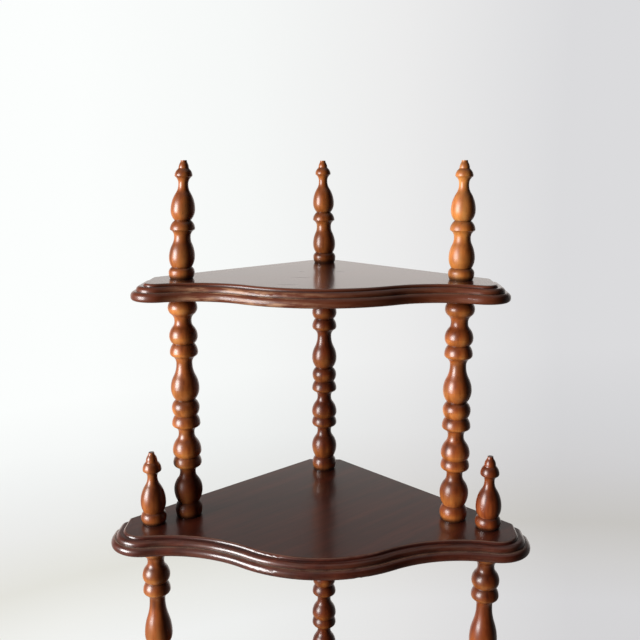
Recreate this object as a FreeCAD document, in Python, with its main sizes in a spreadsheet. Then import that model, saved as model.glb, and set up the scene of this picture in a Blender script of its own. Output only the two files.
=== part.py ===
import FreeCAD, Part
import math
import os
import Sketcher
from FreeCAD import Vector

# Graduated corner shelf: five moulded serpentine boards on turned posts, with finials and feet.
# Frame: +Z up, +Y into the corner of the room, origin on the floor under the rear post.
# Sizes are in millimetres. "Fore" is a distance in front of the rear post's axis, towards -Y.
sizes = {
    # Boards
    "boardThickness": 19.0,
    "rearClipAft": 30.5,            # square-cut rear corner, behind the rear post
    "shelf1HalfWidth": 209.9,
    "shelf1BackCorner": 41.8,       # where the two back edges would meet, behind the rear post
    "shelf1LobeRadius": 27.8,
    "shelf1LobeFore": 194.2,
    "shelf1CoveRadius": 87.8,
    "shelf1BowRadius": 157.2,
    "shelf1BowFore": 251.4,
    "shelf2HalfWidth": 243.7,
    "shelf2BackCorner": 52.4,
    "shelf2LobeRadius": 39.5,
    "shelf2LobeFore": 199.1,
    "shelf2CoveRadius": 146.4,
    "shelf2BowRadius": 155.8,
    "shelf2BowFore": 283.5,
    "shelf3HalfWidth": 279.7,
    "shelf3BackCorner": 63.0,
    "shelf3LobeRadius": 39.5,
    "shelf3LobeFore": 223.6,
    "shelf3CoveRadius": 152.0,
    "shelf3BowRadius": 178.0,
    "shelf3BowFore": 316.0,
    "shelf4HalfWidth": 315.7,
    "shelf4BackCorner": 73.6,
    "shelf4LobeRadius": 39.5,
    "shelf4LobeFore": 248.1,
    "shelf4CoveRadius": 158.0,
    "shelf4BowRadius": 200.0,
    "shelf4BowFore": 348.5,
    "shelf5HalfWidth": 351.7,
    "shelf5BackCorner": 84.2,
    "shelf5LobeRadius": 39.5,
    "shelf5LobeFore": 272.6,
    "shelf5CoveRadius": 164.0,
    "shelf5BowRadius": 222.0,
    "shelf5BowFore": 381.0,
    # Moulded edge, measured in from the outermost line and down from the top face
    "sawAllowance": 2.0,
    "cutterOverrun": 24.0,
    "topBeadInset": 17.2,
    "topBeadRadius": 2.9,
    "ovoloInset": 11.2,
    "ovoloRadius": 5.0,
    "noseLedgeDepth": 8.6,
    "noseInset": 4.4,
    "noseDepth": 14.0,
    "noseUnderRadius": 3.7,
    # Front posts of each section, counted from the top; section 5 is the feet
    "post1Side": 160.0,
    "post1Fore": 159.4,
    "post2Side": 197.5,
    "post2Fore": 182.9,
    "post3Side": 233.5,
    "post3Fore": 207.4,
    "post4Side": 269.5,
    "post4Fore": 231.9,
    "footSide": 305.5,
    "footFore": 256.4,
    # Clear heights between boards
    "bay1Height": 270.6,
    "bay2Height": 285.6,
    "bay3Height": 298.0,
    "bay4Height": 310.0,
    "footHeight": 70.0,
    # Turned work: where a swelling turns into the hollow of a neck, as a share of the way
    "taperTurn": 0.65,
    "vaseTurn": 0.5,
    "finialTurn": 0.68,
    "riseTurn": 0.45,
    "headTurn": 0.5,
    "ringTurn": 0.32,
    "tallRingTurn": 0.08,
    "tallCapTurn": 0.08,
    "smallCapTurn": 0.28,
    # Turned post, heights from its lower end
    "postSeatRadius": 14.6,
    "postBaseBeadRadius": 16.3,
    "postBaseBeadHeight": 8.5,
    "postBaseGrooveRadius": 12.6,
    "postBaseGrooveHeight": 17.6,
    "postPearRadius": 17.0,
    "postPearHeight": 33.0,
    "postPearNeckRadius": 9.4,
    "postPearNeckHeight": 54.6,
    "postNeckLength": 1.5,
    "postLowRingRadius": 16.9,
    "postLowRingHeight": 66.8,
    "postLowRingGrooveRadius": 14.1,
    "postLowRingGrooveHeight": 75.1,
    "postUpperPearRadius": 17.0,
    "postUpperPearHeight": 82.0,
    "postUpperPearNeckRadius": 9.4,
    "postUpperPearNeckHeight": 103.4,
    "postMidRingRadius": 16.7,
    "postMidRingHeight": 115.5,
    "postMidRingGrooveRadius": 12.9,
    "postMidRingGrooveHeight": 125.9,
    "postMidBeadRadius": 16.3,
    "postMidBeadHeight": 135.4,
    "postVaseGrooveRadius": 11.4,
    "postVaseGrooveHeight": 145.0,
    "postVaseRadius": 16.7,
    "postVaseHeight": 159.2,
    # Turned post, upper end: distances down from the board above
    "postVaseNeckRadius": 9.4,
    "postVaseNeckDrop": 82.1,
    "postHighRingRadius": 16.4,
    "postHighRingDrop": 68.4,
    "postHighRingGrooveRadius": 12.4,
    "postHighRingGrooveDrop": 57.6,
    "postBulbRadius": 16.5,
    "postBulbDrop": 49.0,
    "postBulbNeckRadius": 9.9,
    "postBulbNeckDrop": 31.5,
    "postHeadBeadRadius": 17.1,
    "postHeadBeadDrop": 15.2,
    "postHeadGrooveRadius": 13.0,
    "postHeadGrooveDrop": 6.4,
    "postHeadSeatRadius": 14.4,
    # Tall finial
    "tallHeight": 133.3,
    "tallSeatRadius": 13.0,
    "tallBaseBeadRadius": 14.8,
    "tallBaseBeadHeight": 7.3,
    "tallBaseGrooveRadius": 11.4,
    "tallBaseGrooveHeight": 13.2,
    "tallBulbRadius": 14.7,
    "tallBulbHeight": 24.5,
    "tallBulbNeckRadius": 9.4,
    "tallBulbNeckHeight": 47.2,
    "tallRingRadius": 14.2,
    "tallRingHeight": 56.4,
    "tallRingGrooveRadius": 9.2,
    "tallRingGrooveHeight": 66.4,
    "tallPearRadius": 13.8,
    "tallPearHeight": 78.2,
    "tallPearNeckRadius": 5.6,
    "tallPearNeckHeight": 106.4,
    "tallCapRadius": 10.0,
    "tallCapHeight": 116.2,
    "tallCapStepRadius": 6.5,
    "tallCapStepHeight": 123.6,
    "tallTipStartRadius": 5.8,
    "tallTipStartHeight": 124.6,
    "tallTipRadius": 3.4,
    # Small finial
    "smallHeight": 86.9,
    "smallSeatRadius": 13.0,
    "smallBaseBeadRadius": 15.0,
    "smallBaseBeadHeight": 7.0,
    "smallBaseGrooveRadius": 11.8,
    "smallBaseGrooveHeight": 14.0,
    "smallBulbRadius": 14.9,
    "smallBulbHeight": 26.0,
    "smallBulbNeckRadius": 5.9,
    "smallBulbNeckHeight": 56.5,
    "smallCapRadius": 11.0,
    "smallCapHeight": 66.0,
    "smallCapStepRadius": 7.2,
    "smallCapStepHeight": 75.2,
    "smallTipStartRadius": 6.7,
    "smallTipStartHeight": 76.4,
    "smallTipRadius": 3.3,
    "finialNeckLength": 1.2,
    # Turned foot, heights from the floor
    "footPadRadius": 12.0,
    "footPadBeadRadius": 13.6,
    "footPadBeadHeight": 5.0,
    "footNeckRadius": 10.2,
    "footNeckHeight": 13.0,
    "footBulbRadius": 19.5,
    "footBulbHeight": 37.0,
    "footGrooveRadius": 13.0,
    "footGrooveHeight": 53.5,
    "footBeadRadius": 16.6,
    "footBeadHeight": 61.5,
    "footSeatRadius": 14.6,
    # Fixings
    "studRadius": 4.0,
    "studReach": 18.0,              # how far a stud enters the turned piece at each end
    "studChamfer": 1.0,
    "studClearance": 0.3,
    "boreClearance": 0.1,
    "boreEndGap": 1.0,
    "screwRadius": 2.1,
    "screwReach": 20.0,             # how far a screw enters the post above its board
    "screwPoint": 5.0,
    "screwTipRadius": 0.4,
    "screwHeadRadius": 4.4,
    "screwHeadDepth": 3.0,
    "screwClearance": 0.2,
    "screwSlotWidth": 1.2,
    "screwSlotDepth": 1.0,
    "screwSlotLength": 10.0,        # longer than the head is wide
}

doc = FreeCAD.newDocument("CornerShelf")
sheet = doc.addObject("Spreadsheet::Sheet", "Sizes")
for row, (name, value) in enumerate(sizes.items(), 1):
    sheet.set("A%d" % row, name)
    sheet.set("B%d" % row, repr(value))
    sheet.setAlias("B%d" % row, name)
doc.recompute()

class Size:
    """A value with the formula that gives it, so that a drawing starts true and stays bound."""

    def __init__(self, value, formula=None):
        self.value = float(value)
        self.formula = formula or repr(float(value))

    def combine(self, other, sign, value):
        return Size(value, "(%s %s %s)" % (self.formula, sign, other.formula))

    def __add__(self, other):
        return self.combine(other, "+", self.value + other.value)

    def __sub__(self, other):
        return self.combine(other, "-", self.value - other.value)

    def __mul__(self, other):
        other = other if isinstance(other, Size) else Size(other)
        return self.combine(other, "*", self.value * other.value)


def size(name):
    return Size(sizes[name], "Sizes." + name)


zero = Size(0)


def bind(thing, prop, amount):
    thing.setExpression(prop, amount.formula)


def newBody(name, x=zero, y=zero, z=zero):
    body = doc.addObject("PartDesign::Body", name)
    body.Label = name
    bind(body, "Placement.Base.x", x)
    bind(body, "Placement.Base.y", y)
    bind(body, "Placement.Base.z", z)
    return body


def plane(body, role):
    return [f for f in body.Origin.OriginFeatures if f.Role == role][0]


def newSketch(body, name, role):
    sketch = body.newObject("Sketcher::SketchObject", name)
    sketch.AttachmentSupport = (plane(body, role), [""])
    sketch.MapMode = "FlatFace"
    return sketch


class Drawing:
    """Gathers a sketch's curves, rules and bound dimensions, and puts them in together."""

    def __init__(self, sketch):
        self.sketch = sketch
        self.curves = []
        self.rules = []
        self.bound = []

    def curve(self, shape):
        self.curves.append(shape)
        return len(self.curves) - 1

    def rule(self, kind, *place):
        self.rules.append(Sketcher.Constraint(kind, *place))

    def length(self, kind, *place):
        """A dimension whose last argument is the Size that it is bound to."""
        self.bound.append((len(self.rules), place[-1].formula))
        self.rule(kind, *place[:-1], place[-1].value)

    def point(self, line, end, x, y):
        """Fixes a point from the origin, or on an axis."""
        if x is zero:
            self.rule("PointOnObject", line, end, -2)
        elif x.value > 0:
            self.length("DistanceX", -1, 1, line, end, x)
        else:
            self.length("DistanceX", line, end, -1, 1, zero - x)
        if y is zero:
            self.rule("PointOnObject", line, end, -1)
        elif y.value > 0:
            self.length("DistanceY", -1, 1, line, end, y)
        else:
            self.length("DistanceY", line, end, -1, 1, zero - y)

    def finish(self):
        self.sketch.addGeometry(self.curves, False)
        self.sketch.addConstraint(self.rules)
        for index, formula in self.bound:
            self.sketch.setExpression("Constraints[%d]" % index, formula)


def arcAbout(centre, radius, first, last):
    """An arc from angle first to angle last, anticlockwise."""
    return Part.ArcOfCircle(Part.Circle(Vector(*centre, 0), Vector(0, 0, 1), radius), first, last)


# Turned work. A profile is a list of corners (radius, height), each with the curve that leads up to it:
# "line" is straight, "crest" bulges from a widest point below, "swell" bulges up to a widest point,
# "hollow" leads up to a narrowest point and "flare" leaves one.

def levelCentre(start, end, levelAtEnd):
    """Centre and radius of the arc between two corners whose centre is level with one of them."""
    near, far = (end, start) if levelAtEnd else (start, end)
    dr = near[0].value - far[0].value
    dh = near[1].value - far[1].value
    reach = (dr * dr + dh * dh) / (2 * dr)
    return near[0].value - reach, near[1].value, abs(reach)


def drawProfile(sketch, corners):
    """Draws a closed half-section and holds every corner and every arc's centre."""
    drawing = Drawing(sketch)
    pieces = []
    closed = corners[1:] + corners[:1]
    for start, end in zip(corners, closed):
        curve = end[2]
        a = Vector(start[0].value, start[1].value, 0)
        b = Vector(end[0].value, end[1].value, 0)
        if curve == "line":
            pieces.append((drawing.curve(Part.LineSegment(a, b)), 1, 2))
            continue
        levelAtEnd = curve in ("swell", "hollow")
        cx, cy, radius = levelCentre(start, end, levelAtEnd)
        angleA = math.atan2(a.y - cy, a.x - cx)
        angleB = math.atan2(b.y - cy, b.x - cx)
        bulges = curve in ("crest", "swell")
        if bulges:
            arc = arcAbout((cx, cy), radius, angleA, angleB)
            low, high = 1, 2
        else:
            arc = arcAbout((cx, cy), radius, angleB % (2 * math.pi), angleA % (2 * math.pi))
            low, high = 2, 1
        index = drawing.curve(arc)
        pieces.append((index, low, high))
        drawing.rule("Horizontal", index, 3, index, high if levelAtEnd else low)
    for this, following in zip(pieces, pieces[1:] + pieces[:1]):
        drawing.rule("Coincident", this[0], this[2], following[0], following[1])
    for (index, low, high), corner in zip(pieces, corners):
        drawing.point(index, low, corner[0], corner[1])
    drawing.finish()


def along(start, end, share):
    """A corner on the straight chord between two others, where a swell turns into a hollow."""
    return start + (end - start) * share


def taper(r1, h1, r2, h2, turn=size("taperTurn")):
    """From a widest point up to a narrowest one: swells, then hollows."""
    return [(along(r1, r2, turn), along(h1, h2, turn), "crest"), (r2, h2, "hollow")]


def rise(r1, h1, r2, h2, turn=size("riseTurn")):
    """From a narrowest point up to a widest one: hollows, then swells."""
    return [(along(r2, r1, turn), along(h2, h1, turn), "flare"), (r2, h2, "swell")]


def lowerEnd(bore, depth):
    """Axis to rim at the bottom, with a blind bore where there is one."""
    if bore is None:
        return [(zero, zero, "line")]
    return [(zero, depth, "line"), (bore, depth, "line"), (bore, zero, "line")]


def upperEnd(bore, depth, top):
    if bore is None:
        return [(zero, top, "line")]
    return [(bore, top, "line"), (bore, top - depth, "line"), (zero, top - depth, "line")]


def turn(body, corners):
    sketch = newSketch(body, body.Name + "Profile", "XZ_Plane")
    drawProfile(sketch, corners)
    turned = body.newObject("PartDesign::Revolution", body.Name + "Turned")
    turned.Profile = sketch
    turned.ReferenceAxis = (sketch, ["V_Axis"])
    turned.Angle = 360.0
    body.Tip = turned
    return body


studBore = size("studRadius") + size("boreClearance")
studDepth = size("studReach") + size("boreEndGap")
screwBore = size("screwRadius") + size("boreClearance")
screwDepth = size("screwReach") + size("boreEndGap")


def postCorners(length, foot, footDepth):
    """The turned post: only the tapering vase grows with the length."""
    s = size
    neck = s("postNeckLength")
    pearNeck = s("postPearNeckHeight")
    upperNeck = s("postUpperPearNeckHeight")
    vaseNeck = length - s("postVaseNeckDrop")
    bulbNeck = length - s("postBulbNeckDrop")
    corners = lowerEnd(foot, footDepth)
    corners.append((s("postSeatRadius"), zero, "line"))
    corners.append((s("postBaseBeadRadius"), s("postBaseBeadHeight"), "swell"))
    corners.append((s("postBaseGrooveRadius"), s("postBaseGrooveHeight"), "crest"))
    corners.append((s("postPearRadius"), s("postPearHeight"), "swell"))
    corners += taper(s("postPearRadius"), s("postPearHeight"), s("postPearNeckRadius"), pearNeck)
    corners.append((s("postPearNeckRadius"), pearNeck + neck, "line"))
    corners += rise(s("postPearNeckRadius"), pearNeck + neck, s("postLowRingRadius"), s("postLowRingHeight"))
    corners.append((s("postLowRingGrooveRadius"), s("postLowRingGrooveHeight"), "crest"))
    corners.append((s("postUpperPearRadius"), s("postUpperPearHeight"), "swell"))
    corners += taper(s("postUpperPearRadius"), s("postUpperPearHeight"),
                     s("postUpperPearNeckRadius"), upperNeck)
    corners.append((s("postUpperPearNeckRadius"), upperNeck + neck, "line"))
    corners += rise(s("postUpperPearNeckRadius"), upperNeck + neck,
                    s("postMidRingRadius"), s("postMidRingHeight"), s("ringTurn"))
    corners.append((s("postMidRingGrooveRadius"), s("postMidRingGrooveHeight"), "crest"))
    corners.append((s("postMidBeadRadius"), s("postMidBeadHeight"), "swell"))
    corners.append((s("postVaseGrooveRadius"), s("postVaseGrooveHeight"), "crest"))
    corners.append((s("postVaseRadius"), s("postVaseHeight"), "swell"))
    corners += taper(s("postVaseRadius"), s("postVaseHeight"),
                     s("postVaseNeckRadius"), vaseNeck, s("vaseTurn"))
    corners.append((s("postVaseNeckRadius"), vaseNeck + neck, "line"))
    corners += rise(s("postVaseNeckRadius"), vaseNeck + neck,
                    s("postHighRingRadius"), length - s("postHighRingDrop"), s("ringTurn"))
    corners.append((s("postHighRingGrooveRadius"), length - s("postHighRingGrooveDrop"), "crest"))
    corners.append((s("postBulbRadius"), length - s("postBulbDrop"), "swell"))
    corners += taper(s("postBulbRadius"), length - s("postBulbDrop"), s("postBulbNeckRadius"), bulbNeck)
    corners.append((s("postBulbNeckRadius"), bulbNeck + neck, "line"))
    corners += rise(s("postBulbNeckRadius"), bulbNeck + neck,
                    s("postHeadBeadRadius"), length - s("postHeadBeadDrop"), s("headTurn"))
    corners.append((s("postHeadGrooveRadius"), length - s("postHeadGrooveDrop"), "crest"))
    corners.append((s("postHeadSeatRadius"), length, "swell"))
    return corners + upperEnd(studBore, studDepth, length)


def finialCorners(kind, middle):
    """Base bead, then the given middle, then the cap and its pointed tip."""
    def s(part):
        return size(kind + part)
    corners = lowerEnd(studBore, studDepth)
    corners.append((s("SeatRadius"), zero, "line"))
    corners.append((s("BaseBeadRadius"), s("BaseBeadHeight"), "swell"))
    corners.append((s("BaseGrooveRadius"), s("BaseGrooveHeight"), "crest"))
    corners.append((s("BulbRadius"), s("BulbHeight"), "swell"))
    corners += taper(s("BulbRadius"), s("BulbHeight"),
                     s("BulbNeckRadius"), s("BulbNeckHeight"), size("finialTurn"))
    corners += middle
    neckRadius, neckHeight, _ = corners[-1]
    capStart = neckHeight + size("finialNeckLength")
    corners.append((neckRadius, capStart, "line"))
    corners += rise(neckRadius, capStart, s("CapRadius"), s("CapHeight"), s("CapTurn"))
    corners.append((s("CapStepRadius"), s("CapStepHeight"), "crest"))
    corners.append((s("TipStartRadius"), s("TipStartHeight"), "line"))
    corners += taper(s("TipStartRadius"), s("TipStartHeight"), s("TipRadius"), s("Height"))
    return corners + upperEnd(None, None, s("Height"))


def tallMiddle():
    """The tall finial has a ring and a second, pear-shaped bulb."""
    s = size
    neck = s("tallBulbNeckHeight") + s("finialNeckLength")
    corners = [(s("tallBulbNeckRadius"), neck, "line")]
    corners += rise(s("tallBulbNeckRadius"), neck, s("tallRingRadius"), s("tallRingHeight"),
                    s("tallRingTurn"))
    corners.append((s("tallRingGrooveRadius"), s("tallRingGrooveHeight"), "crest"))
    corners.append((s("tallPearRadius"), s("tallPearHeight"), "swell"))
    corners += taper(s("tallPearRadius"), s("tallPearHeight"),
                     s("tallPearNeckRadius"), s("tallPearNeckHeight"), s("finialTurn"))
    return corners


def footCorners():
    s = size
    corners = lowerEnd(None, None)
    corners.append((s("footPadRadius"), zero, "line"))
    corners.append((s("footPadBeadRadius"), s("footPadBeadHeight"), "swell"))
    corners += taper(s("footPadBeadRadius"), s("footPadBeadHeight"), s("footNeckRadius"), s("footNeckHeight"))
    corners += rise(s("footNeckRadius"), s("footNeckHeight"), s("footBulbRadius"), s("footBulbHeight"))
    corners.append((s("footGrooveRadius"), s("footGrooveHeight"), "crest"))
    corners.append((s("footBeadRadius"), s("footBeadHeight"), "swell"))
    corners.append((s("footSeatRadius"), s("footHeight"), "crest"))
    return corners + upperEnd(studBore, studDepth, s("footHeight"))


# Boards. The outline is sawn a little over size, then one cutter runs round its sides and front.

def shelfSizes(number):
    names = ("HalfWidth", "BackCorner", "LobeRadius", "LobeFore", "CoveRadius", "BowRadius", "BowFore")
    return {name: size("shelf%d%s" % (number, name)) for name in names}


def meeting(x1, y1, reach1, x2, y2, reach2):
    """The fore one of the two points at the given reaches from two centres."""
    dx, dy = x2 - x1, y2 - y1
    span = math.hypot(dx, dy)
    along1 = (reach1 ** 2 - reach2 ** 2 + span ** 2) / (2 * span)
    off = math.sqrt(reach1 ** 2 - along1 ** 2)
    px, py = x1 + along1 * dx / span, y1 + along1 * dy / span
    side = off / span
    return min((px - side * dy, py + side * dx), (px + side * dy, py - side * dx), key=lambda p: p[1])


def drawFront(drawing, shelf, allowance, sideTop):
    """Side, lobe, cove, bow, cove, lobe, side, all tangent; sideTop is how far fore the sides start."""
    half = shelf["HalfWidth"] + allowance
    lobe = shelf["LobeRadius"] + allowance
    cove = shelf["CoveRadius"] - allowance
    bow = shelf["BowRadius"] + allowance
    bowCentre = shelf["BowFore"] - shelf["BowRadius"]
    lobeX, lobeY = half.value - lobe.value, -shelf["LobeFore"].value
    bowY = -bowCentre.value
    coveX, coveY = meeting(lobeX, lobeY, lobe.value + cove.value, 0, bowY, bow.value + cove.value)
    toLobe = math.atan2(lobeY - coveY, lobeX - coveX)
    toBow = math.atan2(bowY - coveY, -coveX)
    top = -sideTop.value

    def mirrored(angle):
        return math.pi - angle
    curves = [
        Part.LineSegment(Vector(half.value, top, 0), Vector(half.value, lobeY, 0)),
        arcAbout((lobeX, lobeY), lobe.value, toLobe - math.pi, 0),
        arcAbout((coveX, coveY), cove.value, toLobe, toBow),
        arcAbout((0, bowY), bow.value, mirrored(toBow - math.pi) - 2 * math.pi, toBow - math.pi),
        arcAbout((-coveX, coveY), cove.value, mirrored(toBow), mirrored(toLobe)),
        arcAbout((-lobeX, lobeY), lobe.value, math.pi, mirrored(toLobe - math.pi)),
        Part.LineSegment(Vector(-half.value, lobeY, 0), Vector(-half.value, top, 0)),
    ]
    side, lobeR, coveR, front, coveL, lobeL, sideL = [drawing.curve(c) for c in curves]
    # Points: an arc starts (1) and ends (2) anticlockwise, and 3 is its centre
    for pair in ((side, 2, lobeR, 2), (lobeR, 1, coveR, 1), (coveR, 2, front, 2),
                 (front, 1, coveL, 1), (coveL, 2, lobeL, 2), (lobeL, 1, sideL, 1)):
        drawing.rule("Tangent", *pair)
    drawing.rule("Vertical", side)
    drawing.rule("Vertical", sideL)
    drawing.rule("Symmetric", side, 1, sideL, 2, -2)
    drawing.rule("PointOnObject", front, 3, -2)
    drawing.rule("Equal", lobeR, lobeL)
    drawing.rule("Equal", coveR, coveL)
    drawing.rule("Horizontal", lobeR, 3, lobeL, 3)
    drawing.point(side, 1, half, zero - sideTop)
    drawing.length("Radius", lobeR, lobe)
    drawing.length("Radius", coveR, cove)
    drawing.length("Radius", front, bow)
    drawing.length("DistanceY", lobeR, 3, -1, 1, shelf["LobeFore"])
    drawing.length("DistanceY", front, 3, -1, 1, bowCentre)
    return side, sideL


def drawBlank(sketch, shelf):
    """The sawn board: its front outline, two back edges at 45 degrees and the square-cut rear corner."""
    drawing = Drawing(sketch)
    allowance = size("sawAllowance")
    half = shelf["HalfWidth"] + allowance
    clip = size("rearClipAft")
    clipHalf = shelf["BackCorner"] - clip
    sideTop = half - shelf["BackCorner"]
    side, sideL = drawFront(drawing, shelf, allowance, sideTop)
    corners = [(-half.value, -sideTop.value), (-clipHalf.value, clip.value),
               (clipHalf.value, clip.value), (half.value, -sideTop.value)]
    lines = []
    for (x1, y1), (x2, y2) in zip(corners, corners[1:]):
        lines.append(drawing.curve(Part.LineSegment(Vector(x1, y1, 0), Vector(x2, y2, 0))))
    backL, rear, backR = lines
    for pair in ((sideL, 2, backL, 1), (backL, 2, rear, 1), (rear, 2, backR, 1), (backR, 2, side, 1)):
        drawing.rule("Coincident", *pair)
    drawing.rule("Symmetric", rear, 1, rear, 2, -2)
    drawing.point(rear, 2, clipHalf, clip)
    drawing.finish()


def drawEdgeLine(sketch, shelf, start):
    """The finished front outline, which the cutter follows."""
    drawing = Drawing(sketch)
    drawFront(drawing, shelf, zero, start)
    drawing.finish()


def drawCutter(sketch, shelf):
    """The cutter's section in its plane: across is from the middle of the board, up from its underside."""
    top = size("boardThickness")
    half = shelf["HalfWidth"]
    past = size("sawAllowance") * 2
    topIn = half - size("topBeadInset")
    ledgeIn = topIn + size("topBeadRadius")
    ledge = top - size("topBeadRadius")
    ovoloIn = half - size("ovoloInset")
    ovoloOut = ovoloIn + size("ovoloRadius")
    ovoloEnd = ledge - size("ovoloRadius")
    noseLedge = top - size("noseLedgeDepth")
    noseIn = half - size("noseInset")
    noseStart = top - size("noseDepth")
    under = size("noseUnderRadius")
    corners = [
        (topIn, top, "line"),
        (topIn, top + past, "line"),
        (half + past, top + past, "line"),
        (half + past, zero - past, "line"),
        (half - under, zero - past, "line"),
        (half - under, zero, "line"),
        (half, under, "around"),
        (half, noseStart, "line"),
        (noseIn, noseLedge, "nose"),
        (ovoloOut, noseLedge, "line"),
        (ovoloOut, ovoloEnd, "line"),
        (ovoloIn, ledge, "around"),
        (ledgeIn, ledge, "line"),
        (topIn, top, "around"),
    ]
    drawing = Drawing(sketch)
    pieces = []
    for start, end in zip(corners, corners[1:]):
        a = Vector(start[0].value, start[1].value, 0)
        b = Vector(end[0].value, end[1].value, 0)
        if end[2] == "line":
            pieces.append(drawing.curve(Part.LineSegment(a, b)))
            continue
        # Every curve bulges outwards and is upright at its outer end, so its centre is level with it
        outer, inner = (a, b) if a.x > b.x else (b, a)
        dx = outer.x - inner.x
        dy = outer.y - inner.y
        radius = (dx * dx + dy * dy) / (2 * dx)
        cx, cy = outer.x - radius, outer.y
        first = math.atan2(a.y - cy, a.x - cx)
        last = math.atan2(b.y - cy, b.x - cx)
        index = drawing.curve(arcAbout((cx, cy), radius, first, last))
        pieces.append(index)
        drawing.rule("Horizontal", index, 3, index, 1 if a.x > b.x else 2)
    for this, following in zip(pieces, pieces[1:] + pieces[:1]):
        drawing.rule("Coincident", this, 2, following, 1)
    for index, corner in zip(pieces, corners):
        drawing.point(index, 1, corner[0], corner[1])
    drawing.finish()


def drillThrough(body, name, radius, places):
    """Round holes through the board."""
    sketch = newSketch(body, name + "Circles", "XY_Plane")
    drawing = Drawing(sketch)
    for x, y in places:
        circle = Part.Circle(Vector(x.value, y.value, 0), Vector(0, 0, 1), radius.value)
        index = drawing.curve(circle)
        drawing.length("Radius", index, radius)
        drawing.point(index, 3, x, y)
    drawing.finish()
    pocket = body.newObject("PartDesign::Pocket", name)
    pocket.Profile = sketch
    pocket.Type = 1
    pocket.Reversed = True
    body.Tip = pocket


def makeShelf(number, bottom, studPlaces, screwPlaces):
    shelf = shelfSizes(number)
    body = newBody("shelf_%d" % number, z=bottom)
    blank = newSketch(body, "Outline%d" % number, "XY_Plane")
    drawBlank(blank, shelf)
    board = body.newObject("PartDesign::Pad", "Board%d" % number)
    board.Profile = blank
    bind(board, "Length", size("boardThickness"))
    body.Tip = board
    start = shelf["HalfWidth"] - shelf["BackCorner"] - size("cutterOverrun")
    path = newSketch(body, "EdgeLine%d" % number, "XY_Plane")
    drawEdgeLine(path, shelf, start)
    section = newSketch(body, "Cutter%d" % number, "XZ_Plane")
    bind(section, "AttachmentOffset.Base.z", start)
    drawCutter(section, shelf)
    moulding = body.newObject("PartDesign::SubtractivePipe", "Moulding%d" % number)
    moulding.Profile = section
    moulding.Spine = (path, ["Edge%d" % i for i in range(1, 8)])
    moulding.Mode = 0
    body.Tip = moulding
    drillThrough(body, "StudHoles%d" % number, size("studRadius") + size("studClearance"), studPlaces)
    if screwPlaces:
        shank = size("screwRadius") + size("screwClearance")
        drillThrough(body, "ScrewHoles%d" % number, shank, screwPlaces)
        for index, (x, y) in enumerate(screwPlaces, 1):
            sink = body.newObject("PartDesign::SubtractiveCone", "Countersink%d_%d" % (number, index))
            sink.AttachmentSupport = (plane(body, "XY_Plane"), [""])
            sink.MapMode = "FlatFace"
            bind(sink, "AttachmentOffset.Base.x", x)
            bind(sink, "AttachmentOffset.Base.y", y)
            bind(sink, "Radius1", size("screwHeadRadius") + size("screwClearance"))
            bind(sink, "Radius2", shank)
            bind(sink, "Height", size("screwHeadDepth"))
            body.Tip = sink
    return body


# Fixings

def makeStud(name, x, y, z):
    """A double-ended stud: plain here, chamfered at both ends; z is its lower end."""
    length = size("studReach") * 2 + size("boardThickness")
    radius = size("studRadius")
    chamfer = size("studChamfer")
    body = newBody(name, x, y, z)
    corners = [(zero, zero, "line"), (radius - chamfer, zero, "line"), (radius, chamfer, "line"),
               (radius, length - chamfer, "line"), (radius - chamfer, length, "line"),
               (zero, length, "line")]
    return turn(body, corners)


def makeScrew(name, x, y, z):
    """A countersunk wood screw, head flush with the board's underside at z, with a slot."""
    length = size("boardThickness") + size("screwReach")
    body = newBody(name, x, y, z)
    corners = [(zero, zero, "line"), (size("screwHeadRadius"), zero, "line"),
               (size("screwRadius"), size("screwHeadDepth"), "line"),
               (size("screwRadius"), length - size("screwPoint"), "line"),
               (size("screwTipRadius"), length, "line"), (zero, length, "line")]
    turn(body, corners)
    width = size("screwSlotWidth")
    length = size("screwSlotLength")
    slot = body.newObject("PartDesign::SubtractiveBox", name + "Slot")
    slot.AttachmentSupport = (plane(body, "XY_Plane"), [""])
    slot.MapMode = "FlatFace"
    bind(slot, "AttachmentOffset.Base.x", length * -0.5)
    bind(slot, "AttachmentOffset.Base.y", width * -0.5)
    bind(slot, "Length", length)
    bind(slot, "Width", width)
    bind(slot, "Height", size("screwSlotDepth"))
    body.Tip = slot
    return body


def gather(name, members):
    """Identical fixings of one board share a node and stay separate solids."""
    group = doc.addObject("Part::Compound", name)
    group.Label = name
    group.Links = members
    return group


# Places: the left and right front post of each section, then the front feet
def bothSides(sideways, fore):
    return [("left", zero - size(sideways), zero - size(fore)), ("right", size(sideways), zero - size(fore))]


posts = {n: bothSides("post%dSide" % n, "post%dFore" % n) for n in range(1, 5)}
posts[5] = bothSides("footSide", "footFore")
thickness = size("boardThickness")
shelfBottom = {5: size("footHeight")}
for n in (4, 3, 2, 1):
    shelfBottom[n] = shelfBottom[n + 1] + thickness + size("bay%dHeight" % n)

nodes = []
for n in range(1, 6):
    studs = [(zero, zero)] + [(x, y) for side, x, y in posts[n]]
    screws = [(x, y) for side, x, y in posts[n - 1]] if n > 1 else []
    nodes.append(makeShelf(n, shelfBottom[n], studs, screws))
    studZ = shelfBottom[n] - size("studReach")
    members = [makeStud("Stud%d_%d" % (n, i), x, y, studZ) for i, (x, y) in enumerate(studs, 1)]
    nodes.append(gather("studs_shelf_%d" % n, members))
    if screws:
        base = shelfBottom[n]
        members = [makeScrew("Screw%d_%d" % (n, i), x, y, base) for i, (x, y) in enumerate(screws, 1)]
        nodes.append(gather("screws_shelf_%d" % n, members))

for n in range(1, 5):
    length = size("bay%dHeight" % n)
    base = shelfBottom[n + 1] + thickness
    rear = newBody("rear_post_%d" % n, z=base)
    nodes.append(turn(rear, postCorners(length, studBore, studDepth)))
    for side, x, y in posts[n]:
        front = newBody("%s_post_%d" % (side, n), x, y, base)
        nodes.append(turn(front, postCorners(length, screwBore, screwDepth)))

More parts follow.
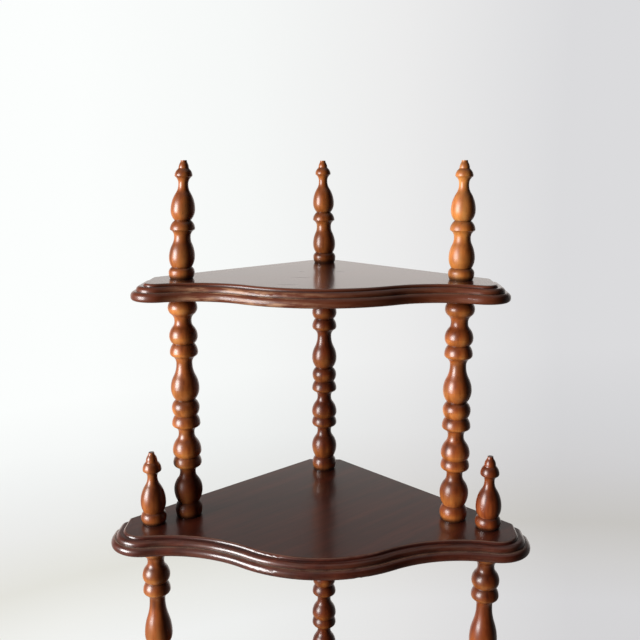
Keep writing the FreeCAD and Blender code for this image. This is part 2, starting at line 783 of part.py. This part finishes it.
topFace = shelfBottom[1] + thickness
nodes.append(turn(newBody("rear_tall_finial", z=topFace), finialCorners("tall", tallMiddle())))
for side, x, y in posts[1]:
    finial = newBody(side + "_tall_finial", x, y, topFace)
    nodes.append(turn(finial, finialCorners("tall", tallMiddle())))

for n in range(2, 6):
    for side, x, y in posts[n]:
        finial = newBody("%s_small_finial_%d" % (side, n), x, y, shelfBottom[n] + thickness)
        nodes.append(turn(finial, finialCorners("small", [])))

nodes.append(turn(newBody("rear_foot"), footCorners()))
for side, x, y in posts[5]:
    foot = newBody(side + "_foot", x, y)
    nodes.append(turn(foot, footCorners()))

doc.recompute()

# Checks before anything is written
for thing in doc.Objects:
    state = [word for word in thing.State if word in ("Invalid", "Error")]
    if state:
        raise RuntimeError("%s is %s" % (thing.Name, state))
for node in nodes:
    if node.Shape.isNull() or not node.Shape.isValid() or not node.Shape.Solids:
        raise RuntimeError("%s has no valid shape" % node.Label)
for n in range(1, 6):
    board = doc.getObject("Board%d" % n).Shape.Volume
    moulded = doc.getObject("Moulding%d" % n).Shape.Volume
    drilled = doc.getObject("shelf_%d" % n).Shape.Volume
    print("shelf %d: blank %.0f, moulded %.0f, drilled %.0f mm3" % (n, board, moulded, drilled))
    if not board > moulded > drilled:
        raise RuntimeError("a cut on shelf %d took nothing away" % n)

os.makedirs("parts", exist_ok=True)
for node in nodes:
    node.Shape.exportStep("parts/%s.step" % node.Label)
print("wrote %d nodes" % len(nodes))
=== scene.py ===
import math

import bpy
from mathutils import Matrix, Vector


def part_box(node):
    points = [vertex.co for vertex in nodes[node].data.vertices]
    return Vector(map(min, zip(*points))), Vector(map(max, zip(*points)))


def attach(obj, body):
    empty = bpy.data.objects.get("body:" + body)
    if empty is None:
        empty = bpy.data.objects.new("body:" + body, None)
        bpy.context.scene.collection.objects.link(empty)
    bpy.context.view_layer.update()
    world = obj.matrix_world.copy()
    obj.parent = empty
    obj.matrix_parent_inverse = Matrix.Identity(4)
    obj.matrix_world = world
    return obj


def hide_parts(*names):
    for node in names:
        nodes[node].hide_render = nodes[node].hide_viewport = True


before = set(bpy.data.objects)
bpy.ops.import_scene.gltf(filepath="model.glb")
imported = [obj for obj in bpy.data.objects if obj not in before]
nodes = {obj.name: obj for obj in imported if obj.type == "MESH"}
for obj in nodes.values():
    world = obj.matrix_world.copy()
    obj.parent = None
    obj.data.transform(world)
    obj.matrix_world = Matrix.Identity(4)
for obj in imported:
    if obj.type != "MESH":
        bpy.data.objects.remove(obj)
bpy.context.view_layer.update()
millimetre = 0.001
seats = {name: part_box(name) for name in nodes}


def linear(hexCode):
    # sRGB hex to the linear colour that sockets take
    parts = [int(hexCode[i:i + 2], 16) / 255 for i in (1, 3, 5)]
    return [p / 12.92 if p <= 0.04045 else ((p + 0.055) / 1.055) ** 2.4 for p in parts] + [1.0]


def addNode(tree, kind, sockets=None, stops=None, **options):
    # sockets takes links and plain values by name or number; stops is for a ramp
    node = tree.nodes.new(kind)
    for name, value in options.items():
        setattr(node, name, value)
    for key, value in (sockets or {}).items():
        if isinstance(value, bpy.types.NodeSocket):
            tree.links.new(value, node.inputs[key])
        else:
            node.inputs[key].default_value = value
    if stops:
        ramp = node.color_ramp
        while len(ramp.elements) < len(stops):
            ramp.elements.new(0.5)
        for element, (position, shade) in zip(ramp.elements, stops):
            element.position = position
            element.color = linear(shade) if isinstance(shade, str) else (shade, shade, shade, 1)
    return node


seedSteps = (1.0, 1.7, 0.6)     # a seed slides a pattern by these shares of itself


def stretched(tree, vector, lengths, seed=0.0):
    # lengths are the pattern's size along x, y and z in mm
    scale = [1 / (length * millimetre) for length in lengths]
    slide = [seed * step for step in seedSteps]
    return addNode(tree, "ShaderNodeMapping",
                   {"Vector": vector, "Scale": scale, "Location": slide}).outputs[0]


def noise(tree, vector, detail=3.0, roughness=0.55):
    return addNode(tree, "ShaderNodeTexNoise",
                   {"Vector": vector, "Scale": 1.0, "Detail": detail, "Roughness": roughness}).outputs[0]


def mixColour(tree, factor, a, b, blend="MIX"):
    return addNode(tree, "ShaderNodeMix", {0: factor, 6: a, 7: b},
                   data_type="RGBA", blend_type=blend).outputs[2]


def shades(tree, value, stops):
    return addNode(tree, "ShaderNodeValToRGB", {"Fac": value}, stops=stops).outputs[0]


def maths(tree, operation, *numbers):
    return addNode(tree, "ShaderNodeMath", dict(enumerate(numbers)), operation=operation).outputs[0]


def times(tree, a, b):
    return maths(tree, "MULTIPLY", a, b)


def largest(tree, first, *others):
    for other in others:
        first = maths(tree, "MAXIMUM", first, other)
    return first


def span(tree, value, low, high, toLow=0.0, toHigh=1.0):
    # value as a share of the way from low to high, kept between them
    return addNode(tree, "ShaderNodeMapRange", {"Value": value, "From Min": low, "From Max": high,
                                                "To Min": toLow, "To Max": toHigh}).outputs[0]


def band(tree, height, low, high, soft):
    # 1 between two heights, fading out over the soft length inside each
    return times(tree, span(tree, height, low, low + soft), span(tree, height, high, high - soft))


def upwardPart(tree):
    # 1 where the surface faces straight up, -1 where it faces down
    facing = addNode(tree, "ShaderNodeNewGeometry").outputs["Normal"]
    return addNode(tree, "ShaderNodeSeparateXYZ", {"Vector": facing}).outputs["Z"]


def openPart(tree, reach, samples):
    # 1 in the open, less in grooves and corners narrower than the reach in mm
    return addNode(tree, "ShaderNodeAmbientOcclusion", {"Distance": reach * millimetre},
                   samples=samples).outputs["AO"]


def newMaterial(name):
    material = bpy.data.materials.new(name)
    material.use_nodes = True
    material.node_tree.nodes.clear()
    return material, material.node_tree


def lacquered(tree, tone, look, pattern, film, roughness):
    # wood of the given tone, lightly raised by the pattern, with a clear film of that roughness over it
    relief, depth = look["relief"]
    bump = addNode(tree, "ShaderNodeBump",
                   {"Height": pattern, "Strength": relief, "Distance": depth * millimetre}).outputs[0]
    surface = addNode(tree, "ShaderNodeBsdfPrincipled",
                      {"Base Color": tone, "Roughness": look["wood"], "Normal": bump,
                       "Specular IOR Level": look["shine"], "Coat Weight": film,
                       "Coat Roughness": roughness, "Coat IOR": look["lacquerIor"],
                       "Coat Normal": bump})
    addNode(tree, "ShaderNodeOutputMaterial", {"Surface": surface.outputs[0]})


# Camera: a standing view down onto the two upper shelves, a little from the right; places are in metres
camera = {"place": (0.0306, -1.0754, 1.4589), "pitch": 10.974, "turn": 1.946, "lens": 45.42,
          "sensor": 36.0, "near": 0.05, "far": 50.0}
cameraData = bpy.data.cameras.new("photographer")
cameraData.sensor_fit = "HORIZONTAL"
cameraData.sensor_width = camera["sensor"]
cameraData.lens = camera["lens"]
cameraData.clip_start = camera["near"]
cameraData.clip_end = camera["far"]
cameraObject = bpy.data.objects.new("photographer", cameraData)
cameraObject.location = camera["place"]
cameraObject.rotation_euler = (math.radians(90 - camera["pitch"]), 0.0, math.radians(camera["turn"]))
bpy.context.scene.collection.objects.link(cameraObject)
bpy.context.scene.camera = cameraObject
print("camera placed")

# Boards: heights are in mm over a board's underside
board = {
    "grainTurn": -45.0,         # the grain runs beside the left back edge
    "seed": 3.7,                # how far apart two boards' patterns start
    "streak": (190, 14, 14),    # sizes of the patterns along the grain, across it and upwards
    "figure": (260, 80, 80),
    "pore": (30, 1.0, 1.0),
    "blotch": (22, 22, 3.5),
    "stain": [(0.28, "#3a150b"), (0.5, "#4f1d10"), (0.74, "#652a18")],
    "patches": [(0.3, 0.8), (0.7, 1.15)],
    "pores": [(0.32, 0.6), (0.46, 1.0)],
    "poreShare": 0.8,
    # dark grime, also the painted shade in grooves and corners
    "grime": "#160a07",
    "worn": "#bb8d6c",
    "arrisHighlight": "#8f6f5d",
    # pale colour of the painted highlight lines on the arrises
    "faded": "#74371c",
    "nose": (8.5, 4.0),         # the nose is rubbed from the first height down, fully from the second
    "ledge": 10.4,              # height of the ledge over the nose
    "ridge": 1.1,               # how far over and under the ledge it is rubbed
    "ovolo": (11.0, 16.0, 1.5),                     # the ovolo's band, and how softly it ends
    "line": 0.3,                # half the pale painted highlight line at the ledge
    "rim": (0.7, 0.3),          # the pale painted highlight line at the top, from how far under the top
    "rubBlotch": (0.42, 0.6),   # where in the blotches the edge is rubbed
    "lineBlotch": (0.35, 0.55, 0.2, 0.7),           # how strong the painted highlight lines are there
    "bareBlotch": (0.35, 0.55, 0.55, 0.9),          # and how much of the first board's film is gone
    "bareFrom": 0.6,            # share of that outside the rubbed stretch
    "edgeFacing": (0.995, 0.9),                     # upward part of the normal, from flat to edge
    "rimFacing": (0.995, 0.97),
    "flatFacing": (0.9, 0.99),
    "crevice": 4.0,             # width of the grooves that get grime and painted shade
    "grimy": (0.8, 0.3),        # and how open they still are
    "wood": 0.42,               # roughness of the wood itself
    "shine": 0.5,
    "lacquer": 0.15,            # and of the lacquer film
    "lacquerIor": 1.5,
    "relief": (0.06, 0.2),      # strength and depth
}
# how strongly each board's edge is rubbed and faded; the first is rubbed along its front's left
# half, between two places in metres
rub = {"strength": 0.85, "shares": {1: 1.0, 2: 0.1, 3: 0.08, 4: 0.08, 5: 0.12},
       "fades": {1: 0.7, 2: 0.05, 3: 0.1, 4: 0.1, 5: 0.2},
       "from": -0.155, "fromSoft": 0.02, "to": -0.01, "toSoft": 0.03, "beyond": 0.15}
# light scores in the first board's top, end to end
scores = [
    ((-0.0373, -0.1502), (-0.0096, -0.1491)),
    ((0.0150, -0.0952), (0.0285, -0.0947)),
    ((-0.0289, -0.0970), (-0.0216, -0.0967)),
    ((-0.0475, -0.2057), (-0.0203, -0.2046)),
]
scoreWidth = 0.0016
scoreHeight = 100               # any height that is far over the board's
scoreCore = 0.6                 # share of the stroke that is fully dark


def scored(tree, place, start, end):
    # 1 inside a thin pointed stroke from start to end, 0 outside it
    middle = [(a + b) / 2 for a, b in zip(start, end)]
    reach = math.dist(start, end) / 2
    angle = math.atan2(end[1] - start[1], end[0] - start[0])
    flat = addNode(tree, "ShaderNodeMapping",
                   {"Vector": place, "Location": (middle[0], middle[1], 0), "Rotation": (0, 0, angle),
                    "Scale": (reach, scoreWidth / 2, scoreHeight)}, vector_type="TEXTURE").outputs[0]
    far = addNode(tree, "ShaderNodeVectorMath", {0: flat}, operation="LENGTH").outputs["Value"]
    return span(tree, far, 1.0, scoreCore)


def boardGrain(tree, place, seed):
    # the stained tone, and the pores that also raise the surface
    along = addNode(tree, "ShaderNodeMapping",
                    {"Vector": place, "Rotation": (0, 0, math.radians(board["grainTurn"]))}).outputs[0]
    streak = noise(tree, stretched(tree, along, board["streak"], seed), detail=4.0)
    figure = noise(tree, stretched(tree, along, board["figure"], seed), detail=2.0)
    pore = noise(tree, stretched(tree, along, board["pore"], seed), detail=2.0, roughness=0.5)
    tone = shades(tree, streak, board["stain"])
    tone = mixColour(tree, 1.0, tone, shades(tree, figure, board["patches"]), "MULTIPLY")
    tone = mixColour(tree, board["poreShare"], tone, shades(tree, pore, board["pores"]), "MULTIPLY")
    return tone, pore


def rubbedStretch(tree, across):
    # the left half of the first board's front, fading out at both ends
    start = span(tree, across, rub["from"] - rub["fromSoft"], rub["from"] + rub["fromSoft"])
    end = span(tree, across, rub["to"] + rub["toSoft"], rub["to"] - rub["toSoft"], rub["beyond"], 1.0)
    return times(tree, start, end)


def boardWood(number):
    # dark red-brown stain under a satin lacquer film, faint grain, grime and painted shade in the ledges,
    # pale painted highlight lines, rubbed edge
    material, tree = newMaterial("stained hardwood board %d, satin lacquer" % number)
    low, high = seats["shelf_%d" % number]
    top = high.z - low.z
    place = addNode(tree, "ShaderNodeTexCoord").outputs["Object"]
    split = addNode(tree, "ShaderNodeSeparateXYZ", {"Vector": place})
    height = maths(tree, "SUBTRACT", split.outputs["Z"], low.z)
    upward = upwardPart(tree)
    seed = number * board["seed"]
    tone, pore = boardGrain(tree, place, seed)
    blotch = noise(tree, stretched(tree, place, board["blotch"], seed), detail=4.0, roughness=0.65)
    # the nose's lower half, the ledge and the ovolo are rubbed through in blotches
    noseTop, noseFoot = [h * millimetre for h in board["nose"]]
    ledge = board["ledge"] * millimetre
    ovoloFoot, ovoloTop, ovoloSoft = [h * millimetre for h in board["ovolo"]]
    nose = span(tree, height, noseTop, noseFoot)
    ridge = maths(tree, "COMPARE", height, ledge, board["ridge"] * millimetre)
    ovolo = band(tree, height, ovoloFoot, ovoloTop, ovoloSoft)
    rubbed = times(tree, largest(tree, nose, ridge, ovolo), span(tree, blotch, *board["rubBlotch"]))
    if number == 1:
        stretch = rubbedStretch(tree, split.outputs["X"])
        rubbed = times(tree, rubbed, stretch)
    rubbed = times(tree, rubbed, rub["strength"] * rub["shares"][number])
    side = span(tree, upward, *board["edgeFacing"], 0.0, rub["fades"][number])
    tone = mixColour(tree, side, tone, linear(board["faded"]))
    tone = mixColour(tree, rubbed, tone, linear(board["worn"]))
    # the top arris and the ledge over the nose get a thin pale line: painted highlight where they catch the
    # light, partly rubbed wear
    rimFoot, rimTop = [top - h * millimetre for h in board["rim"]]
    rim = times(tree, span(tree, height, rimFoot, rimTop), span(tree, upward, *board["rimFacing"]))
    line = largest(tree, rim, maths(tree, "COMPARE", height, ledge, board["line"] * millimetre))
    line = times(tree, line, span(tree, blotch, *board["lineBlotch"]))
    tone = mixColour(tree, line, tone, linear(board["arrisHighlight"]))
    # painted shade with grime: the ledges' grooves and corners go darker the less open they are
    grimy = span(tree, openPart(tree, board["crevice"], samples=6), *board["grimy"])
    tone = mixColour(tree, grimy, tone, linear(board["grime"]))
    film = 1.0
    if number == 1:
        # the lacquer film is gone where this edge is rubbed, and in the scores
        bare = times(tree, span(tree, stretch, 0.0, 1.0, board["bareFrom"], 1.0),
                     span(tree, blotch, *board["bareBlotch"]))
        bare = times(tree, bare, span(tree, upward, *board["edgeFacing"]))
        marks = largest(tree, *[scored(tree, place, start, end) for start, end in scores])
        marks = times(tree, marks, span(tree, upward, *board["flatFacing"]))
        tone = mixColour(tree, marks, tone, linear(board["grime"]))
        film = maths(tree, "SUBTRACT", 1.0, largest(tree, bare, marks))
    lacquered(tree, tone, board, pore, film, board["lacquer"])
    return material


for number in range(1, 6):
    nodes["shelf_%d" % number].material_slots[0].material = boardWood(number)
print("boards finished")

# Turned pieces
turned = {
    "streak": (7.0, 7.0, 90),   # sizes of the patterns across the piece twice, then along it
    "fleck": (1.3, 1.3, 11),
    "stain": (20, 20, 34),
    "stainSeed": 2.3,
    "red": [(0.25, "#5f1d09"), (0.5, "#973d18"), (0.78, "#b85c2a")],
    "golden": [(0.25, "#b86422"), (0.5, "#ea9042"), (0.78, "#f8ae5e")],
    "flecks": [(0.27, 0.55), (0.38, 1.0)],
    "fleckShare": 0.7,
    "stains": [(0.35, 0.66), (0.62, 1.1)],
    "stainShare": 0.9,
    "grime": "#200d07",
    "upwardShade": [(0.42, "#ffffff"), (0.64, "#e2d4d0")],     # painted shade tint, from facing down to facing up
    "high": (12.0, 15.5),       # radius from which a post is a lighter gold: painted light from below, and rubbing
    "narrowShadeAndDirt": (10.5, 8.3),      # and from which down its necks get dirt and painted shade
    "foot": (72.0, 52.0),       # height from which down a piece is darker, with stain and painted shadow
    "smoke": "#47140a",
    "undersideFacing": (0.25, -0.1),                # upward part of the normal where it is so lightened
    "crevice": 8.0,             # width of the grooves that get dirt and painted shade
    "grooveShadeAndDirt": (0.9, 0.45, 0.0, 0.85),              # how open they still are, and how dark that is
    "upShadeAndDust": (0.25, 0.85, 0.0, 0.6),                # how far up a part faces to get dust and painted shade, and how dark it is
    "filmLost": 0.85,           # how dark the foot is where no film is left, so that no highlight shows in its painted shadow
    "wood": 0.45,
    "shine": 0.2,
    "gloss": 0.3,               # roughness of the lacquer film
    "satin": 0.4,               # and where it is rubbed duller
    "lacquerIor": 1.55,
    "relief": (0.02, 0.1),
}


def trait(tree, name):
    # what the piece itself says, as a node with a Fac and a Vector
    return addNode(tree, "ShaderNodeAttribute", attribute_type="OBJECT", attribute_name=name)


def turnedGrain(tree, place):
    # close straight grain in red and in gold, flecks, and slow stains
    seat = trait(tree, "grainStart").outputs["Vector"]
    along = addNode(tree, "ShaderNodeVectorMath", {0: place, 1: seat}, operation="SUBTRACT").outputs[0]
    streak = noise(tree, stretched(tree, along, turned["streak"]), roughness=0.5)
    fleck = noise(tree, stretched(tree, along, turned["fleck"]), detail=2.0, roughness=0.5)
    stain = noise(tree, stretched(tree, along, turned["stain"], turned["stainSeed"]), detail=2.0)
    return streak, fleck, stain


def turnedWood(finish, roughness):
    # amber to red-brown lacquer over close straight grain, a few dark flecks, dirt and painted shade in the
    # grooves
    material, tree = newMaterial("turned hardwood, " + finish)
    place = addNode(tree, "ShaderNodeTexCoord").outputs["Object"]
    base = trait(tree, "base").outputs["Vector"]
    risen = addNode(tree, "ShaderNodeVectorMath", {0: place, 1: base}, operation="SUBTRACT").outputs[0]
    height = addNode(tree, "ShaderNodeSeparateXYZ", {"Vector": risen}).outputs["Z"]
    across = addNode(tree, "ShaderNodeVectorMath", {0: risen, 1: (1, 1, 0)}, operation="MULTIPLY").outputs[0]
    radius = addNode(tree, "ShaderNodeVectorMath", {0: across}, operation="LENGTH").outputs["Value"]
    upward = upwardPart(tree)
    streak, fleck, stain = turnedGrain(tree, place)
    # a post's widest parts are lighter, below and beside: painted light from below, and rubbing where hands
    # and dusters reach
    rubFrom, rubTo = [r * millimetre for r in turned["high"]]
    high = times(tree, span(tree, radius, rubFrom, rubTo), span(tree, upward, *turned["undersideFacing"]))
    share = maths(tree, "ADD", times(tree, high, trait(tree, "worn").outputs["Fac"]),
                  trait(tree, "gold").outputs["Fac"])
    red = shades(tree, streak, turned["red"])
    golden = shades(tree, streak, turned["golden"])
    tone = mixColour(tree, share, red, golden)
    tone = mixColour(tree, turned["fleckShare"], tone, shades(tree, fleck, turned["flecks"]), "MULTIPLY")
    tone = mixColour(tree, turned["stainShare"], tone, shades(tree, stain, turned["stains"]), "MULTIPLY")
    # some pieces are stained darker all over, and all are darker and duller at the foot, if mostly a little:
    # darker stain and painted shadow, which on the left post's foot stands in for the small finial's shadow
    tone = addNode(tree, "ShaderNodeVectorMath", {0: tone, "Scale": trait(tree, "deep").outputs["Fac"]},
                   operation="SCALE").outputs[0]
    footTop, footDark = [h * millimetre for h in turned["foot"]]
    smoked = times(tree, trait(tree, "smoked").outputs["Fac"], span(tree, height, footTop, footDark))
    tone = mixColour(tree, smoked, tone, linear(turned["smoke"]))
    # dirt and painted shade darken the grooves and necks, and painted shade with a little dust darkens what
    # faces up
    # painted shade: what faces up is tinted darker
    upwardShade = shades(tree, span(tree, upward, -1.0, 1.0), turned["upwardShade"])
    tone = mixColour(tree, 1.0, tone, upwardShade, "MULTIPLY")
    # painted shade with dirt in the grooves, darker the less open they are
    grooveShadeAndDirt = span(tree, openPart(tree, turned["crevice"], samples=8), *turned["grooveShadeAndDirt"])
    # painted shade with dirt in the narrow necks
    neckFrom, neckTo = [r * millimetre for r in turned["narrowShadeAndDirt"]]
    narrowShadeAndDirt = times(tree, trait(tree, "neck").outputs["Fac"], span(tree, radius, neckFrom, neckTo))
    upShadeAndDust = span(tree, upward, *turned["upShadeAndDust"])
    tone = mixColour(tree, largest(tree, grooveShadeAndDirt, narrowShadeAndDirt, upShadeAndDust), tone, linear(turned["grime"]))
    film = span(tree, smoked, 0.0, turned["filmLost"], 1.0, 0.0)
    lacquered(tree, tone, turned, fleck, film, roughness)
    return material


# how golden each piece is, how much light its stain leaves and how dark its foot is with stain and painted
# shadow, from the picture; the rest is plain
finishes = {
    "left_tall_finial": {"gold": 0.5, "deep": 0.86},
    "right_tall_finial": {"gold": 1.0, "deep": 1.0},
    "rear_tall_finial": {"gold": 0.5},
    "left_post_1": {"gold": 0.45, "deep": 0.9, "smoked": 0.78},
    "right_post_1": {"gold": 0.3, "deep": 1.0, "smoked": 0.3},
    "rear_post_1": {"gold": 0.12, "deep": 0.68},
    "left_small_finial_2": {"gold": 0.45},
    "right_small_finial_2": {"gold": 0.15, "deep": 0.8},
    "left_post_2": {"gold": 0.35},
    "right_post_2": {"gold": 0.15, "deep": 0.76},
    "rear_post_2": {"gold": 0.12, "deep": 0.69},
}
plain = {"deep": 0.85, "smoked": 0.1, "golds": (0.15, 0.2, 0.25, 0.3)}
# only posts and feet are lighter at their widest, painted light from below and rubbing, and darker at their
# necks, dirt and painted shade
handled = {"worn": 0.3, "neck": 0.5}
# each piece starts its grain elsewhere, so that no two look alike
grainSteps = (0.03, 0.2)
traitNames = ("grainStart", "base", "gold", "worn", "neck", "smoked", "deep")
glossWood = turnedWood("amber gloss lacquer", turned["gloss"])
satinWood = turnedWood("golden satin lacquer", turned["satin"])
turnedNames = sorted(name for name in nodes if "post" in name or "finial" in name or "foot" in name)
for index, name in enumerate(turnedNames):
    low, high = seats[name]
    piece = nodes[name]
    finish = finishes.get(name, {})
    x, y = (low.x + high.x) / 2, (low.y + high.y) / 2
    piece["grainStart"] = [x + grainSteps[0] * index, y, low.z - grainSteps[1] * index]
    piece["base"] = [x, y, low.z]
    piece["gold"] = finish.get("gold", plain["golds"][index % len(plain["golds"])])
    piece["deep"] = finish.get("deep", plain["deep"])
    piece["smoked"] = finish.get("smoked", plain["smoked"])
    for wear, share in handled.items():
        piece[wear] = 0.0 if "finial" in name else share
    piece.material_slots[0].material = satinWood if name == "right_tall_finial" else glossWood
print("turned pieces finished")

# Two of the tall finials have worked loose and lean along the front, in mm at the tip
leans = {"left_tall_finial": 6.9, "rear_tall_finial": -2.3}


def leaningFinial(name, tip):
    # the same turned form, each slice slid along by its share of the height, its seat flat on the board
    straight = nodes[name]
    low, high = seats[name]
    mesh = straight.data.copy()
    for vertex in mesh.vertices:
        vertex.co.x += tip * millimetre * (vertex.co.z - low.z) / (high.z - low.z)
    leaning = bpy.data.objects.new(name + "_leaning", mesh)
    for traitName in traitNames:
        leaning[traitName] = straight[traitName]
    bpy.context.scene.collection.objects.link(leaning)
    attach(leaning, "root")
    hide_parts(name)


for name, tip in leans.items():
    leaningFinial(name, tip)
print("leaning finials set")

# Fixings
steel = {"shade": "#b9b7b1", "scratch": (0.6, 0.6, 9), "roughness": (0.3, 0.55), "relief": (0.2, 0.1)}


def platedSteel():
    # dull zinc plating with fine turning marks
    material, tree = newMaterial("zinc-plated steel fixing, dull")
    place = addNode(tree, "ShaderNodeTexCoord").outputs["Object"]
    marks = noise(tree, stretched(tree, place, steel["scratch"]))
    gloss = span(tree, marks, 0.0, 1.0, *steel["roughness"])
    relief, depth = steel["relief"]
    bump = addNode(tree, "ShaderNodeBump",
                   {"Height": marks, "Strength": relief, "Distance": depth * millimetre})
    surface = addNode(tree, "ShaderNodeBsdfPrincipled",
                      {"Base Color": linear(steel["shade"]), "Metallic": 1.0, "Roughness": gloss,
                       "Normal": bump.outputs[0]})
    addNode(tree, "ShaderNodeOutputMaterial", {"Surface": surface.outputs[0]})
    return material


steelMaterial = platedSteel()
for name in nodes:
    if name.startswith(("studs", "screws")):
        nodes[name].material_slots[0].material = steelMaterial
print("fixings finished")

# Floor: a pale disc that fades into the backdrop
floor = {"radius": 3.2, "rings": 24, "sides": 96,
         "sunk": 0.2,           # in mm, so that the feet's undersides don't flicker with it
         "shade": "#f6f4f1", "mottle": "#f1efeb", "mottles": (400, 400, 400), "roughness": 0.7,
         # how much of the backdrop shows through, by share of the radius
         "clear": [(0.14, 0.4), (0.38, 0.88), (1.0, 1.0)]}


def floorDisc():
    mesh = bpy.data.meshes.new("floor")
    vertices = [(0, 0, 0)]
    faces = []
    sides = floor["sides"]
    for ring in range(1, floor["rings"] + 1):
        radius = floor["radius"] * ring / floor["rings"]
        for side in range(sides):
            angle = 2 * math.pi * side / sides
            vertices.append((radius * math.cos(angle), radius * math.sin(angle), 0))
            following = (side + 1) % sides
            if ring == 1:
                faces.append((0, 1 + side, 1 + following))
            else:
                inner, outer = 1 + (ring - 2) * sides, 1 + (ring - 1) * sides
                faces.append((inner + side, outer + side, outer + following, inner + following))
    mesh.from_pydata(vertices, [], faces)
    disc = bpy.data.objects.new("floor", mesh)
    bpy.context.scene.collection.objects.link(disc)
    disc.location.z = -floor["sunk"] * millimetre
    material, tree = newMaterial("painted studio floor, matt")
    place = addNode(tree, "ShaderNodeTexCoord").outputs["Object"]
    reach = addNode(tree, "ShaderNodeVectorMath", {0: place}, operation="LENGTH").outputs["Value"]
    reach = span(tree, reach, 0.0, floor["radius"])
    # the backdrop shows through the pale paint, more towards the rim
    clearness = shades(tree, reach, floor["clear"])
    mottle = noise(tree, stretched(tree, place, floor["mottles"]))
    shade = mixColour(tree, mottle, linear(floor["mottle"]), linear(floor["shade"]))
    paint = addNode(tree, "ShaderNodeBsdfPrincipled", {"Base Color": shade, "Roughness": floor["roughness"]})
    clear = addNode(tree, "ShaderNodeBsdfTransparent")
    blend = addNode(tree, "ShaderNodeMixShader", {0: clearness, 1: paint.outputs[0], 2: clear.outputs[0]})
    addNode(tree, "ShaderNodeOutputMaterial", {"Surface": blend.outputs[0]})
    mesh.materials.append(material)


floorDisc()
print("floor laid")

# Light: one broad window far to the left and a little in front, pale walls behind the piece
window = {"place": (-2.57, -1.67, 1.55), "wide": 1.6, "tall": 1.6, "power": 150}
target = Vector((0, -0.12, 1.15))


def addPanel(name, look):
    data = bpy.data.lights.new(name, "AREA")
    data.shape = "RECTANGLE"
    data.size = look["wide"]
    data.size_y = look["tall"]
    data.energy = look["power"]
    panel = bpy.data.objects.new(name, data)
    panel.location = look["place"]
    panel.rotation_euler = (target - Vector(look["place"])).to_track_quat("-Z", "Y").to_euler()
    panel.visible_camera = False
    bpy.context.scene.collection.objects.link(panel)


addPanel("window", window)

room = {
    # as the camera sees it: by direction from left to right, darker to the right as painted shade away from
    # the window, and by direction upwards, with a band of painted shade where the wall meets the floor
    "seen": [(0.19, "#fcfefd"), (0.38, "#f6f8f7"), (0.565, "#ececec"), (0.75, "#dbdbdd")],
    "sides": (-0.5, 0.5),
    "height": [(0.0, "#ffffff"), (0.22, "#f7f7f7"), (0.36, "#f2f1f0"), (0.5, "#ebe9e3"),
               (0.6, "#f7f6f3"), (0.7, "#ffffff")],
    "heights": (-0.24, -0.62),
    "tilt": -0.1,
    # as the piece meets it: by direction from straight behind the camera to straight ahead of it
    "walls": "#f8f1ec",
    "toward": (-0.1, 0.99, 0.1),
    "walled": [(0.35, 0.02), (0.5, 0.1), (0.75, 0.2), (0.92, 0.95)],
    "wallTop": (0.2, 0.4, 0.25),                    # above this the wall gives way to a dim ceiling
    "overhead": (0.6, 0.9, 0.38),                   # which is brighter right over the piece
    # and what it gives to matt surfaces
    "glow": "#ffa07c",
    "glows": [(0.4, 0.01), (0.7, 0.04), (1.0, 0.35)],
}
world = bpy.data.worlds.new("pale room")
bpy.context.scene.world = world
world.use_nodes = True
tree = world.node_tree
tree.nodes.clear()
direction = addNode(tree, "ShaderNodeTexCoord").outputs["Generated"]
parts = addNode(tree, "ShaderNodeSeparateXYZ", {"Vector": direction})
seen = shades(tree, span(tree, parts.outputs["X"], *room["sides"]), room["seen"])
down = maths(tree, "MULTIPLY_ADD", parts.outputs["X"], room["tilt"], parts.outputs["Z"])
cornerShade = shades(tree, span(tree, down, *room["heights"]), room["height"])
seen = mixColour(tree, 1.0, seen, cornerShade, "MULTIPLY")
backdrop = addNode(tree, "ShaderNodeBackground", {"Color": seen, "Strength": 1.0}).outputs[0]
facing = addNode(tree, "ShaderNodeVectorMath", {0: direction, 1: room["toward"]}, operation="DOT_PRODUCT")
ahead = span(tree, facing.outputs["Value"], -1.0, 1.0)
wallFoot, wallEnd, dim = room["wallTop"]
wall = times(tree, shades(tree, ahead, room["walled"]),
             span(tree, parts.outputs["Z"], wallFoot, wallEnd, 1.0, dim))
ceilingFoot, ceilingEnd, bright = room["overhead"]
ceiling = span(tree, parts.outputs["Z"], ceilingFoot, ceilingEnd, 0.0, bright)
walls = addNode(tree, "ShaderNodeBackground",
                {"Color": linear(room["walls"]), "Strength": largest(tree, wall, ceiling)}).outputs[0]
glow = addNode(tree, "ShaderNodeBackground",
               {"Color": linear(room["glow"]), "Strength": shades(tree, ahead, room["glows"])}).outputs[0]
rays = addNode(tree, "ShaderNodeLightPath")
met = addNode(tree, "ShaderNodeMixShader", {0: rays.outputs["Is Glossy Ray"], 1: glow, 2: walls}).outputs[0]
both = addNode(tree, "ShaderNodeMixShader", {0: rays.outputs["Is Camera Ray"], 1: met, 2: backdrop})
addNode(tree, "ShaderNodeOutputWorld", {"Surface": both.outputs[0]})
bpy.context.scene.view_settings.view_transform = "Standard"
print("lights set")
